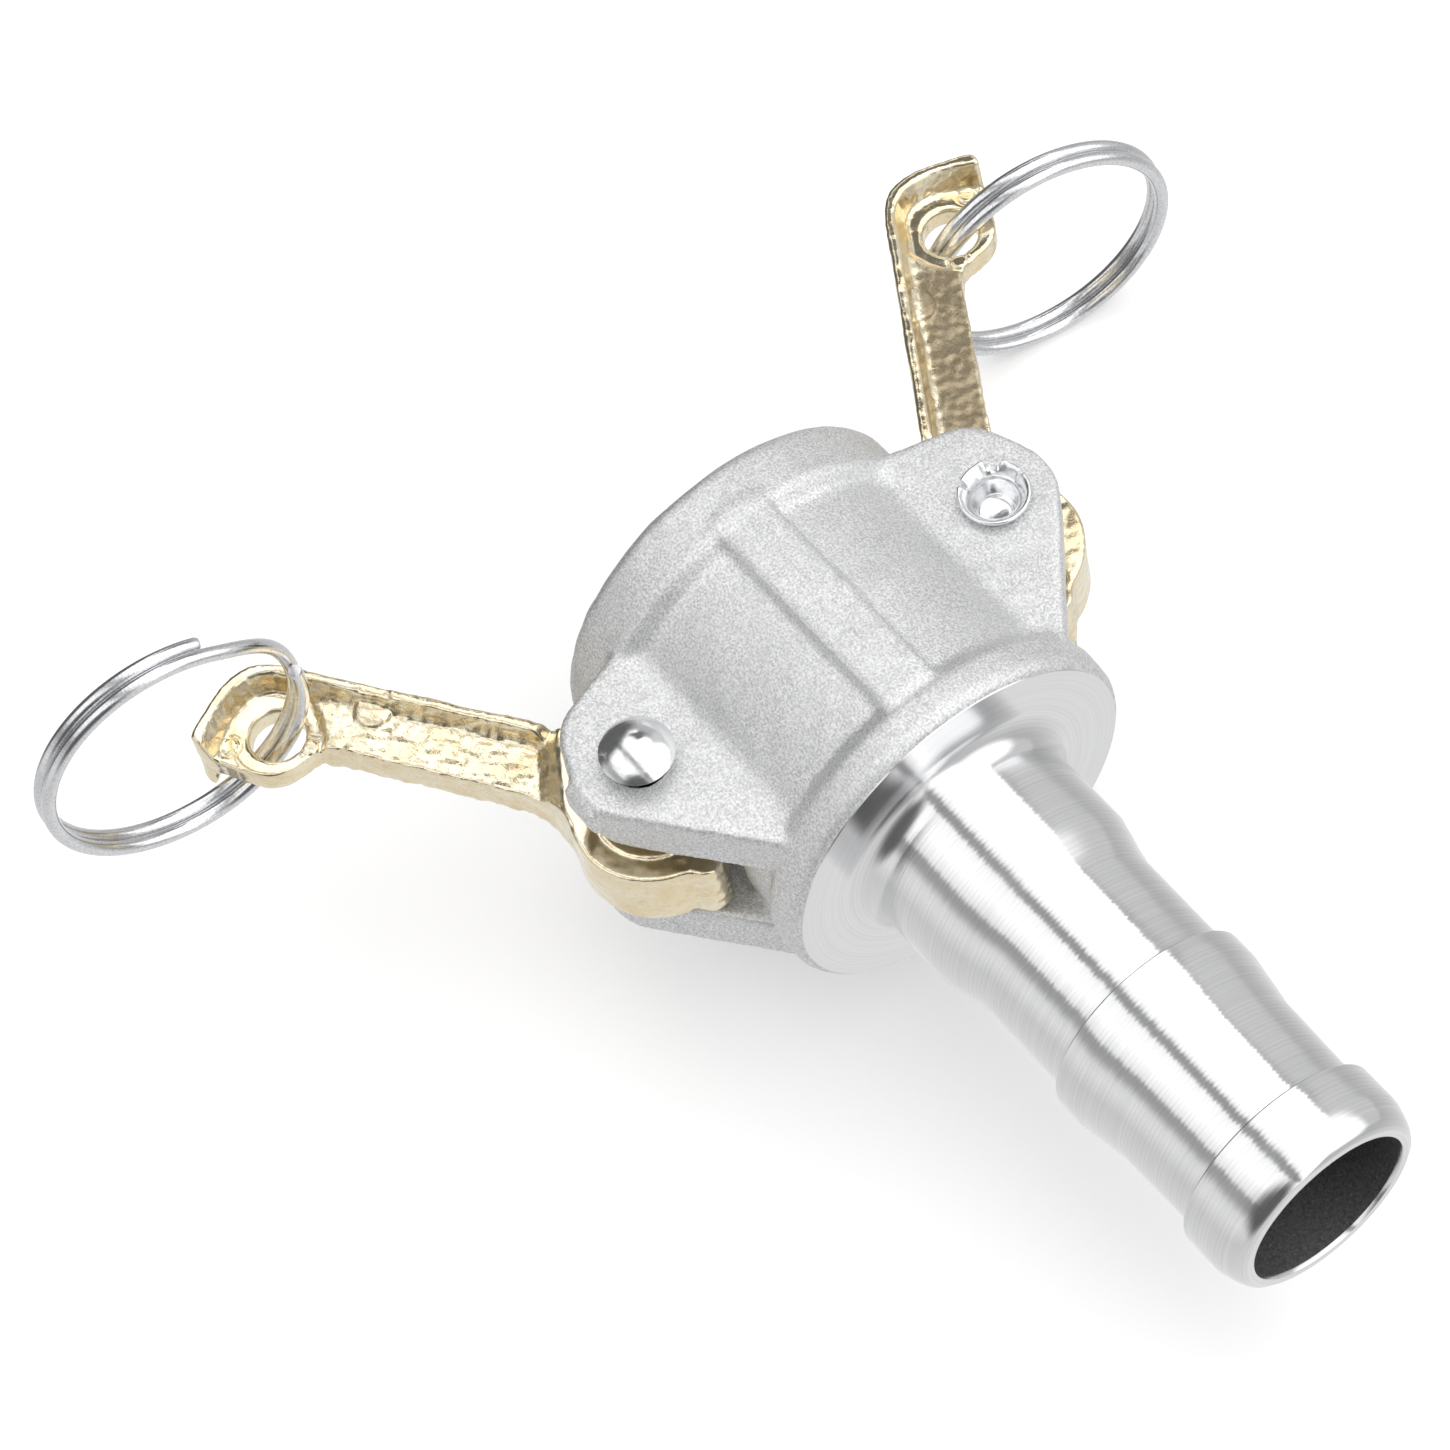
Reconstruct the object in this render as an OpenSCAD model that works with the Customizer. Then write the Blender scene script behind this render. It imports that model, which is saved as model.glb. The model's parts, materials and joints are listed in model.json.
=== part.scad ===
// Camlock hose coupling, female coupler with integral hose shank, size 1 inch.
// Frame: origin at the centre of the coupler mouth, +X along the flow axis to the hose end,
// +Z up along the hinge pins. Millimetres.

/* [Coupler body] */
// radius of the bore that takes the adapter
coupler_bore_r = 18.5; // [18.3:0.1:18.9]
// outer radius of the mouth rim and of the base band
rim_r = 24.1; // [23:0.1:25.5]
// outer radius in the recessed panels
panel_r = 22.4; // [21.5:0.1:23.5]
// where the panels start behind the mouth
panel_x0 = 8.6; // [7:0.1:10]
// where the panels end
panel_x1 = 37.6; // [36:0.1:39]
// machined back face of the cup
base_x = 44.0; // [43:0.1:46]
// half width of the rib along the top and the bottom
rib_half = 3.65; // [3:0.05:4.5]

/* [Gasket] */
// outer radius of the gasket
gasket_r = 19.85; // [19.5:0.05:20]
// inner radius of the gasket
gasket_bore_r = 13.5; // [13:0.1:14]
// thickness of the gasket
gasket_t = 6.35; // [6:0.05:6.5]
// front face of the gasket
gasket_x = 33.5; // [32:0.1:34]

/* [Hose shank] */
// radius of the through bore
hose_bore_r = 10.55; // [10:0.05:11.2]
// radius of the wide stretch next to the cup
shank_wide_r = 13.7; // [13:0.1:14.5]
// radius of the two straight waists
waist_r = 12.3; // [12:0.1:12.8]
// radius of the two barbs
barb_r = 13.55; // [13:0.05:14]
// end of the shank
shank_end_x = 108.4; // [105:0.1:112]

/* [Ears] */
// distance of the hinge pins from the axis
pin_y = 26.15; // [25.5:0.05:27]
// distance of the hinge pins behind the mouth
pin_x = 20.0; // [19:0.1:21]
// half of the gap between two ears
ear_in = 6.6; // [6:0.1:7]
// half of the width over two ears
ear_out = 14.0; // [13:0.1:15]

/* [Cam arms] */
// thickness of the cam and of the flange
arm_t = 10.2; // [9.5:0.1:11]
// thickness of the web
web_t = 4.8; // [4:0.1:6]
// thickness of the eye around the ring hole
eye_t = 3.2; // [3:0.1:4]
// distance from the hinge pin to the ring hole
hole_u = 47.3; // [45:0.1:50]
// radius of the ring hole
hole_r = 3.35; // [3:0.05:3.6]
// width of the flange
flange_w = 2.2; // [1.8:0.1:3]
// radius of the cam about the hinge pin
cam_r = 9.8; // [9.5:0.1:10.5]
// how far the arms have sunk in the gap, resting on the lower ears
arm_z = -1.35; // [-1.4:0.05:1.4]
// direction of the left arm at rest
left_turn = 214.1; // [200:0.1:220]
// direction of the right arm at rest
right_turn = 149.2; // [140:0.1:160]

/* [Rivets] */
// radius of the rivet shank
rivet_r = 3.15; // [3:0.05:3.3]
// radial gap between a rivet and its cam arm
arm_gap = 0.08; // [0.02:0.01:0.1]
// radius of the domed head
head_r = 4.5; // [4:0.1:5]
// height of the domed head
head_h = 2.4; // [2:0.1:3]
// how far the head stands off the ear
head_gap = 2.2; // [0:0.1:3]

/* [Pull rings] */
// radius of the ring to the middle of the wire
ring_r = 16.5; // [15:0.1:18]
// radius of the wire
wire_r = 0.9; // [0.8:0.05:1.1]
// direction in which the left ring leaves its hole
left_ring_way = -97; // [-120:1:-80]
// how far the left ring stands up from its hole
left_ring_tilt = 44; // [0:1:45]
// direction in which the right ring leaves its hole
right_ring_way = 80; // [60:1:110]
// how far the right ring hangs down from its hole
right_ring_tilt = -44; // [-45:1:0]

/* [Hidden] */
$fa = 5;
$fs = 0.7;
flange_v = 7.3;
web_v = -0.75;
hole_v = -0.4;
eye_r = 5.5;
left_hole = [
  pin_x + hole_u * cos(left_turn) + hole_v * sin(left_turn),
  -pin_y + hole_u * sin(left_turn) - hole_v * cos(left_turn),
  arm_z
];
right_hole = [
  pin_x + hole_u * cos(right_turn) - hole_v * sin(right_turn),
  pin_y + hole_u * sin(right_turn) + hole_v * cos(right_turn),
  arm_z
];

// Turned and cast shell, drawn as a half section: x along the axis, y the radius
module shell_section() {
  difference() {
    union() {
      // mouth rim with a soft outer edge
      translate([2.2, 0]) square([panel_x0 - 2.2, rim_r]);
      square([3, rim_r - 2.2]);
      translate([2.2, rim_r - 2.2]) circle(r = 2.2);
      // panel stretch
      translate([panel_x0 - 0.1, 0]) square([panel_x1 - panel_x0 + 0.2, panel_r]);
      // base band with a soft shoulder towards the machined face
      translate([panel_x1, 0]) square([base_x - panel_x1 - 2.4, rim_r]);
      translate([panel_x1, 0]) square([base_x - panel_x1, rim_r - 1.0]);
      translate([base_x - 2.4, rim_r - 2.4]) intersection() {
        circle(r = 2.4);
        square([2.4, 2.4]);
      }
      // hose shank: fillet, wide stretch, two barbs and a tapered nose
      polygon([
        [base_x - 1, 0], [base_x - 1, shank_wide_r + 3.4], [base_x, shank_wide_r + 3.4],
        [base_x + 0.3, shank_wide_r + 2.1], [base_x + 1.1, shank_wide_r + 1.0],
        [base_x + 2.3, shank_wide_r + 0.3], [base_x + 4, shank_wide_r], [57.2, shank_wide_r],
        [63.4, waist_r], [77.3, waist_r], [77.3, barb_r], [80.6, barb_r],
        [87.4, waist_r], [99.4, waist_r], [99.4, barb_r], [104.4, barb_r],
        [106.6, 13.0], [107.8, 12.35], [shank_end_x, 11.6], [shank_end_x, 0]
      ]);
    }
    // adapter bore
    translate([-1, -1]) square([gasket_x + 1, coupler_bore_r + 1]);
    // gasket groove
    translate([gasket_x - 0.05, -1]) square([gasket_t + 0.1, gasket_r + 1.05]);
    // throat into the hose bore
    polygon([
      [39, -1], [39, gasket_bore_r - 0.6], [39.9, gasket_bore_r - 0.6],
      [42.4, hose_bore_r], [42.4, -1]
    ]);
    translate([42, -1]) square([80, hose_bore_r + 1]);
    // rounded edge of the hose bore
    polygon([
      [shank_end_x - 0.5, 0], [shank_end_x - 0.5, hose_bore_r], [shank_end_x, hose_bore_r + 0.5],
      [shank_end_x + 1, hose_bore_r + 0.5], [shank_end_x + 1, 0]
    ]);
  }
}

module shell() {
  rotate([90, 0, 90]) rotate_extrude($fn = 120) rotate(90) mirror([0, 1]) shell_section();
}

// Plan outline of an ear on the +Y side
module ear_plan() {
  hull() {
    translate([19.3, 25.8]) circle(r = 8.2);
    translate([15.3, 25.5]) circle(r = 7.0);
    translate([7.2, 17.0]) circle(r = 1.5);
    translate([40.0, 18.4]) circle(r = 1.5);
  }
}

module ear_pair(side) {
  for (top = [-1, 1])
    translate([0, 0, top > 0 ? ear_in : -ear_out])
      linear_extrude(ear_out - ear_in)
        scale([1, side]) ear_plan();
}

// Rib along the top (or bottom) between the two panels
module rib(turn) {
  rotate([turn, 0, 0])
    intersection() {
      translate([panel_x0 - 1, -rib_half, 19.5]) cube([panel_x1 - panel_x0 + 2, 2 * rib_half, 6]);
      rotate([0, 90, 0]) cylinder(r = rim_r, h = 60, $fn = 120);
    }
}

module coupler_body() {
  color([0.72, 0.73, 0.74])
  difference() {
    union() {
      shell();
      difference() {
        union() {
          ear_pair(1);
          ear_pair(-1);
          rib(0);
          rib(180);
        }
        // keep the ears and ribs out of the cup
        translate([-5, 0, 0]) rotate([0, 90, 0]) cylinder(r = panel_r - 1.2, h = 60, $fn = 120);
      }
    }
    for (side = [-1, 1]) {
      // window for the cam
      translate([pin_x, side * pin_y, -ear_in]) cylinder(r = 12.0, h = 2 * ear_in, $fn = 96);
      // rivet holes through both ears
      translate([pin_x, side * pin_y, -20]) cylinder(r = rivet_r + 0.02, h = 40, $fn = 48);
    }
  }
}

module gasket() {
  color([0.07, 0.07, 0.08])
  translate([gasket_x, 0, 0]) rotate([0, 90, 0])
  difference() {
    cylinder(r = gasket_r, h = gasket_t, $fn = 96);
    translate([0, 0, -1]) cylinder(r = gasket_bore_r, h = gasket_t + 2, $fn = 96);
  }
}

// Outline of the lever in its own plane: u from the pin to the tip, v towards the flange
module lever_outline() {
  polygon([
    [-0.3, flange_v - 0.4], [1.5, flange_v], [48.4, 7.2], [50.6, 7.0], [52.4, 6.3], [53.7, 5.1],
    [54.6, 3.5], [55.3, 1.2], [55.8, -1.4], [56.2, -3.9], [56.0, -4.7], [55.3, -5.2], [54.2, -5.4],
    [50.4, -5.9], [47.6, -6.05],
    [45.6, -5.6], [44.2, -4.6], [43.2, -3.2], [42.2, -1.7], [40.9, -0.95], [39.2, web_v],
    [16, web_v - 0.3], [12, web_v - 1.3], [8.6, -4.2], [0, -4]
  ]);
}

// Part of the lever that is recessed from both faces
module lever_pocket() {
  polygon([
    [17, flange_v - flange_w], [49.2, flange_v - flange_w], [51.2, 4.4], [52.6, 2.9], [53.4, 0.9],
    [53.9, -1.6], [54.3, -3.9], [54.8, -7.5], [13.6, -7.5], [14.1, -0.4], [14.6, 1.9], [16, 3.9]
  ]);
}

// Thinner stretch around the ring hole
module eye_pocket() {
  polygon([
    [44.6, 5.1], [40.9, -0.6], [42.6, -7.5], [54.8, -7.5], [54.3, -3.9], [53.9, -1.6], [53.4, 0.9],
    [52.6, 2.9], [51.2, 4.4], [49.2, 5.1]
  ]);
}

// Cam around the hinge: a hub, the round back that bears in the groove, and the nose
module cam_blank() {
  translate([0, 0, -arm_t / 2]) cylinder(r = 7.25, h = arm_t, $fn = 60);
  intersection() {
    translate([0, 0, -arm_t / 2]) cylinder(r = cam_r, h = arm_t, $fn = 90);
    translate([0, 0, -arm_t / 2]) linear_extrude(arm_t)
      polygon([[2, 1], [-3, 1], [-20, -10], [-20, -30], [30, -30], [30, -10.5]]);
  }
  translate([0, 0, -arm_t / 2]) linear_extrude(arm_t) hull() {
    circle(r = 7.1, $fn = 60);
    translate([-8.0, -4.9]) circle(r = 2.2, $fn = 24);
  }
}

// One cam arm, lying flat with its hinge at the origin
module cam_arm() {
  difference() {
    union() {
      difference() {
        translate([0, 0, -arm_t / 2]) linear_extrude(arm_t) lever_outline();
        for (s = [-1, 1])
          translate([0, 0, s > 0 ? web_t / 2 : -arm_t / 2 - 1])
            linear_extrude(arm_t / 2 + 1 - web_t / 2) lever_pocket();
        // the eye is thinner than the web
        for (s = [-1, 1])
          translate([0, 0, s > 0 ? eye_t / 2 : -web_t / 2 - 1])
            linear_extrude(web_t / 2 + 1 - eye_t / 2) eye_pocket();
      }
      cam_blank();
    }
    translate([0, 0, -10]) cylinder(r = rivet_r + arm_gap, h = 20, $fn = 48);
    translate([hole_u, hole_v, -10]) cylinder(r = hole_r, h = 20, $fn = 48);
    // rounded edges of the ring hole
    for (s = [-1, 1])
      translate([hole_u, hole_v, s * (eye_t / 2 - 0.6)]) mirror([0, 0, s > 0 ? 0 : 1])
        cylinder(r1 = hole_r - 0.1, r2 = hole_r + 0.7, h = 1.2, $fn = 48);
  }
}

module left_cam_arm() {
  color([0.83, 0.66, 0.33])
  translate([pin_x, -pin_y, arm_z]) rotate(left_turn) mirror([0, 1, 0]) cam_arm();
}

module right_cam_arm() {
  color([0.83, 0.66, 0.33])
  translate([pin_x, pin_y, arm_z]) rotate(right_turn) cam_arm();
}

// Semi-tubular rivet along Z: domed head standing off the upper ear, flared tail below the lower ear
dome_r = (head_r * head_r + head_h * head_h) / (2 * head_h);
dome_a = asin((dome_r - head_h) / dome_r);
dome_pts = [
  for (i = [0:14])
    let(a = dome_a + (90 - dome_a) * i / 14)
      [i == 14 ? 0 : dome_r * cos(a), ear_out + head_gap + head_h - dome_r + dome_r * sin(a)]
];
tail_pts = [
  [0, -ear_out + 3.4], [2.1, -ear_out + 3.2], [2.35, -ear_out + 2.8], [2.65, -ear_out + 0.2],
  [2.95, -ear_out - 0.35], [3.8, -ear_out - 1.3], [4.15, -ear_out - 1.5], [4.4, -ear_out - 1.25],
  [4.4, -ear_out - 0.9], [4.1, -ear_out - 0.4], [3.5, -ear_out], [rivet_r, -ear_out],
  [rivet_r, ear_out + head_gap]
];

module rivet() {
  color([0.86, 0.87, 0.88])
  rotate_extrude($fn = 64)
  polygon(concat(tail_pts, dome_pts));
}

module left_rivet() {
  translate([pin_x, -pin_y, 0]) rivet();
}

module right_rivet() {
  translate([pin_x, pin_y, 0]) mirror([0, 0, 1]) rivet();
}

// Split ring: two turns of wire side by side, joined by one short crossing
wire_sides = 10;
turn_gap = 1.86;
cross_half = 24;
first_a = 28;
last_a = 692;
ring_steps = 84;
function ease(t) = t < 0 ? 0 : (t > 1 ? 1 : t * t * (3 - 2 * t));
function ring_a(i) = first_a + (last_a - first_a) * i / ring_steps;
function ring_h(a) = turn_gap * (ease((a - 360 + cross_half) / (2 * cross_half)) - 0.5);
ring_pts = [
  for (i = [0:ring_steps])
    for (j = [0:wire_sides - 1])
      let(a = ring_a(i), b = 360 * j / wire_sides, q = ring_r + wire_r * cos(b))
        [q * cos(a), q * sin(a), ring_h(a) + wire_r * sin(b)]
];
ring_faces = concat(
  [[for (j = [0:wire_sides - 1]) j]],
  [[for (j = [wire_sides - 1:-1:0]) ring_steps * wire_sides + j]],
  [
    for (i = [0:ring_steps - 1])
      for (j = [0:wire_sides - 1])
        let(k = (j + 1) % wire_sides)
          [i * wire_sides + j, (i + 1) * wire_sides + j, (i + 1) * wire_sides + k, i * wire_sides + k]
  ]
);

// Ring through a hole: way is the compass direction it leaves in, tilt how far it points up
module pull_ring(hole, way, tilt, phase) {
  color([0.8, 0.81, 0.83])
  translate(hole) rotate(way) rotate([0, -tilt, 0]) translate([ring_r, 0, 0]) rotate([90, 0, 0]) rotate(phase)
    polyhedron(points = ring_pts, faces = ring_faces, convexity = 6);
}

module left_pull_ring() {
  pull_ring(left_hole, left_ring_way, left_ring_tilt, 100);
}

module right_pull_ring() {
  pull_ring(right_hole, right_ring_way, right_ring_tilt, 230);
}

coupler_body();
gasket();
left_cam_arm();
right_cam_arm();
left_rivet();
right_rivet();
left_pull_ring();
right_pull_ring();
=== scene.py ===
import json
import math

import bpy
import numpy as np
from mathutils import Matrix, Vector


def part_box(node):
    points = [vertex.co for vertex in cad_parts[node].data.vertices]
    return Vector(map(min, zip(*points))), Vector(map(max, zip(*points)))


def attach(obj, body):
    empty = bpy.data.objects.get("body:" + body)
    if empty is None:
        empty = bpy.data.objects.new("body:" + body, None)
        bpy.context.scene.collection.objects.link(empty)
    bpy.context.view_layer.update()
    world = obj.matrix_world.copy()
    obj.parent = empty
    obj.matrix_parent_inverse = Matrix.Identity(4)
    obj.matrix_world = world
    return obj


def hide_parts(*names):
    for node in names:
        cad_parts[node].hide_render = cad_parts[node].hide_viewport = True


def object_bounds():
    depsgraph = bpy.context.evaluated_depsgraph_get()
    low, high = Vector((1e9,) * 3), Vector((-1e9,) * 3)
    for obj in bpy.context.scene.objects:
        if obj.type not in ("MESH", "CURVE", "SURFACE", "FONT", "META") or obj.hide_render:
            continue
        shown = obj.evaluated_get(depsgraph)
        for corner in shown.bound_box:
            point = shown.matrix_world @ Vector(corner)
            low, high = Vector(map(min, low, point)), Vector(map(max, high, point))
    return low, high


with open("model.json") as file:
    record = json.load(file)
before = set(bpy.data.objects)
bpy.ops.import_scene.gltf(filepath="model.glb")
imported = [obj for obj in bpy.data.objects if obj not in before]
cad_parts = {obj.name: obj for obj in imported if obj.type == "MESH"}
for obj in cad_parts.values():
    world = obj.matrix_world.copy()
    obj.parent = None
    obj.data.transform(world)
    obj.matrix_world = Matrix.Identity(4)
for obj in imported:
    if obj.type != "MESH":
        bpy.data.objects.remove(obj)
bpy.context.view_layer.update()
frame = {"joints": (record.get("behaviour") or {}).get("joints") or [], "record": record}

# A camlock hose coupling: a cast cup with ears and a turned hose shank, two brass cam arms on rivets, and two
# pull rings. Shapes are worked out in millimetres in the frame's own axes and put down in metres.
MM = 0.001

# ---------------------------------------------------------------- what the frame says
joints = {joint["name"]: joint for joint in frame["joints"]}
mounts = {mount["name"]: mount for mount in frame["record"]["mounts"]}


def place_of(joint_name):
    return np.array(joints[joint_name]["pos_m"]) / MM


LEFT_PIN = place_of("left_arm_hinge")
RIGHT_PIN = place_of("right_arm_hinge")
LEFT_HOLE = place_of("left_ring_swing")
RIGHT_HOLE = place_of("right_ring_swing")
PIN_X = RIGHT_PIN[0]
PIN_Y = RIGHT_PIN[1]
BORE_R = mounts["coupler_bore"]["dims"]["r_mm"]
BARB_R = mounts["hose_shank"]["dims"]["r_mm"]
GASKET_LOW, GASKET_HIGH = (np.array(corner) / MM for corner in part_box("gasket"))
SHANK_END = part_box("coupler_body")[1][0] / MM
RIVET_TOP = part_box("left_rivet")[1][2] / MM

# ---------------------------------------------------------------- camera
CAMERA_PLACE = Vector((315.07, -157.54, 570.05)) * MM
CAMERA_AZIMUTH = math.radians(64.15)
CAMERA_ELEVATION = math.radians(59.71)
CAMERA_ROLL = math.radians(-13.92)
FOCAL_PIXELS = 5652.0
FRAME_PIXELS = 1450.0
SENSOR = 36.0
CLIP_START = 0.01
CLIP_END = 20.0


def make_camera():
    back = Vector((
        math.sin(CAMERA_AZIMUTH) * math.cos(CAMERA_ELEVATION),
        -math.cos(CAMERA_AZIMUTH) * math.cos(CAMERA_ELEVATION),
        math.sin(CAMERA_ELEVATION),
    ))
    level = Vector((math.cos(CAMERA_AZIMUTH), math.sin(CAMERA_AZIMUTH), 0.0))
    upright = back.cross(level)
    right = math.cos(CAMERA_ROLL) * level + math.sin(CAMERA_ROLL) * upright
    up = math.cos(CAMERA_ROLL) * upright - math.sin(CAMERA_ROLL) * level
    data = bpy.data.cameras.new("camera")
    data.sensor_width = SENSOR
    data.lens = FOCAL_PIXELS / FRAME_PIXELS * SENSOR
    data.clip_start = CLIP_START
    data.clip_end = CLIP_END
    camera = bpy.data.objects.new("camera", data)
    turned = Matrix((right, up, back)).transposed().to_4x4()
    turned.translation = CAMERA_PLACE
    camera.matrix_world = turned
    bpy.context.scene.collection.objects.link(camera)
    bpy.context.scene.camera = camera


make_camera()

# ---------------------------------------------------------------- distance fields and meshes


def smooth_min(a, b, width):
    """The nearer of two distances, with the corner between them filled."""
    mix = np.clip(0.5 + 0.5 * (b - a) / width, 0.0, 1.0)
    return b + (a - b) * mix - width * mix * (1.0 - mix)


def smooth_max(a, b, width):
    """The farther of two distances, with the corner between them rounded."""
    return -smooth_min(-a, -b, width)


def smooth_step(value):
    value = np.clip(value, 0.0, 1.0)
    return value * value * (3.0 - 2.0 * value)


def plate(outline, height, half, edge):
    """Distance to an outline made into a plate of the given half thickness, with rounded edges."""
    a = outline + edge
    b = np.abs(height) - half + edge
    outside = np.hypot(np.maximum(a, 0.0), np.maximum(b, 0.0))
    return np.minimum(np.maximum(a, b), 0.0) + outside - edge


def outline_distance(points, x, y):
    """Distance to a closed outline, negative inside it."""
    nearest = np.full(np.broadcast(x, y).shape, 1e9)
    inside = np.zeros(nearest.shape, bool)
    for (ax, ay), (bx, by) in zip(points, points[1:] + points[:1]):
        ex = bx - ax
        ey = by - ay
        along = np.clip(((x - ax) * ex + (y - ay) * ey) / (ex * ex + ey * ey), 0.0, 1.0)
        nearest = np.minimum(nearest, (x - ax - along * ex) ** 2 + (y - ay - along * ey) ** 2)
        if ay != by:
            crossing = ax + (y - ay) * ex / ey
            inside ^= ((ay <= y) != (by <= y)) & (x < crossing)
    return np.where(inside, -1.0, 1.0) * np.sqrt(nearest)


def hull_of(circles, steps=48):
    """Outline that a band stretched round the circles (x, y, radius) would take."""
    around = [2.0 * math.pi * i / steps for i in range(steps)]
    points = sorted((cx + r * math.cos(t), cy + r * math.sin(t)) for cx, cy, r in circles for t in around)

    def chain(row):
        kept = []
        for p in row:
            while len(kept) > 1 and (
                (kept[-1][0] - kept[-2][0]) * (p[1] - kept[-2][1])
                <= (kept[-1][1] - kept[-2][1]) * (p[0] - kept[-2][0])
            ):
                kept.pop()
            kept.append(p)
        return kept[:-1]

    return chain(points) + chain(points[::-1])


def ripples(x, y, z, size, seed, count=20):
    """Smooth random field of about unit strength with lumps of the given size."""
    draw = np.random.default_rng(seed)
    total = 0.0
    for _ in range(count):
        way = draw.normal(size=3)
        way *= math.pi / size / np.linalg.norm(way) * draw.uniform(0.7, 1.3)
        total = total + np.sin(way[0] * x + way[1] * y + way[2] * z + draw.uniform(0.0, 2.0 * math.pi))
    return total / math.sqrt(count / 2.0)


def grid_axes(low, high, step):
    """Three broadcastable axes over a box."""
    x, y, z = (np.arange(a, b + step, step) for a, b in zip(low, high))
    return x[:, None, None], y[None, :, None], z[None, None, :]


CORNERS = [(i, j, k) for i in (0, 1) for j in (0, 1) for k in (0, 1)]
CHECKER_PASSES = 8
JUST_INSIDE = -0.02


def without_checkers(field, step):
    """Changes single samples until no square of four alternates between inside and outside.

    Two sheets of the mesh would share an edge there.
    """
    for _ in range(CHECKER_PASSES):
        changed = 0
        for a, b in ((0, 1), (0, 2), (1, 2)):
            inside = field < 0.0
            ahead = np.roll(inside, -1, a)
            beside = np.roll(inside, -1, b)
            across = np.roll(ahead, -1, b)
            spots = np.argwhere((inside == across) & (ahead == beside) & (inside != ahead))
            spots[inside[tuple(spots.T)], a] += 1
            field[tuple(spots.T)] = JUST_INSIDE * step
            changed += len(spots)
        if not changed:
            break
    return field


def surface_net(field, low, step):
    """Closed mesh of four-sided faces on the zero surface of a field sampled on a grid."""
    field = without_checkers(field, step)
    inside = field < 0.0
    shape = tuple(n - 1 for n in field.shape)

    def corner(array, c):
        return array[c[0]:c[0] + shape[0], c[1]:c[1] + shape[1], c[2]:c[2] + shape[2]]

    count = sum(corner(inside, c).astype(np.int8) for c in CORNERS)
    cells = np.argwhere((count > 0) & (count < 8))
    number = np.full(shape, -1, np.int64)
    number[tuple(cells.T)] = np.arange(len(cells))
    values = {c: field[tuple((cells + c).T)] for c in CORNERS}
    total = np.zeros((len(cells), 3))
    hits = np.zeros(len(cells))
    for a in CORNERS:
        for axis in range(3):
            if a[axis]:
                continue
            b = tuple(v + (i == axis) for i, v in enumerate(a))
            crossed = (values[a] < 0.0) != (values[b] < 0.0)
            share = np.where(crossed, values[a] / np.where(crossed, values[a] - values[b], 1.0), 0.0)
            point = np.array(a, float) + share[:, None] * (np.arange(3) == axis)
            total += point * crossed[:, None]
            hits += crossed
    points = np.array(low) + step * (cells + total / hits[:, None])
    faces = []
    for axis in range(3):
        u, v = (axis + 1) % 3, (axis + 2) % 3
        ahead = np.roll(inside, -1, axis)
        edges = np.argwhere(inside != ahead)
        size = np.array(field.shape)
        keep = (edges[:, axis] < size[axis] - 1) & (edges[:, u] > 0) & (edges[:, v] > 0)
        keep &= (edges[:, u] < size[u] - 1) & (edges[:, v] < size[v] - 1)
        edges = edges[keep]
        leaving = inside[tuple(edges.T)]
        ring = []
        for du, dv in ((-1, -1), (0, -1), (0, 0), (-1, 0)):
            cell = edges.copy()
            cell[:, u] += du
            cell[:, v] += dv
            ring.append(number[tuple(cell.T)])
        quads = np.stack(ring, 1)
        quads[~leaving] = quads[~leaving][:, ::-1]
        faces.append(quads)
    return points, np.concatenate(faces)


def make_object(name, points, faces, sharp=None):
    """Mesh object from points in millimetres."""
    mesh = bpy.data.meshes.new(name)
    mesh.from_pydata((np.asarray(points) * MM).tolist(), [], [list(map(int, face)) for face in faces])
    mesh.update()
    mesh.shade_smooth()
    if sharp:
        mesh.set_sharp_from_angle(angle=math.radians(sharp))
    made = bpy.data.objects.new(name, mesh)
    bpy.context.scene.collection.objects.link(made)
    return made


def lathe(profile, steps):
    """Closed solid turned about X from a closed half section of (x, radius), as points and faces."""
    rows = len(profile)
    turn = np.arange(steps) * 2.0 * math.pi / steps
    section = np.array(profile, float)
    points = np.stack([
        np.repeat(section[:, 0][:, None], steps, 1),
        section[:, 1][:, None] * np.cos(turn),
        section[:, 1][:, None] * np.sin(turn),
    ], -1).reshape(-1, 3)
    faces = []
    for i in range(rows):
        for j in range(steps):
            k = (j + 1) % steps
            n = (i + 1) % rows
            faces.append((i * steps + j, i * steps + k, n * steps + k, n * steps + j))
    return points, faces


def arc(centre, radius, start, end, steps):
    """Points on an arc, angles in degrees."""
    angles = [math.radians(start + (end - start) * i / steps) for i in range(steps + 1)]
    return [(centre[0] + radius * math.cos(t), centre[1] + radius * math.sin(t)) for t in angles]


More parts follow.
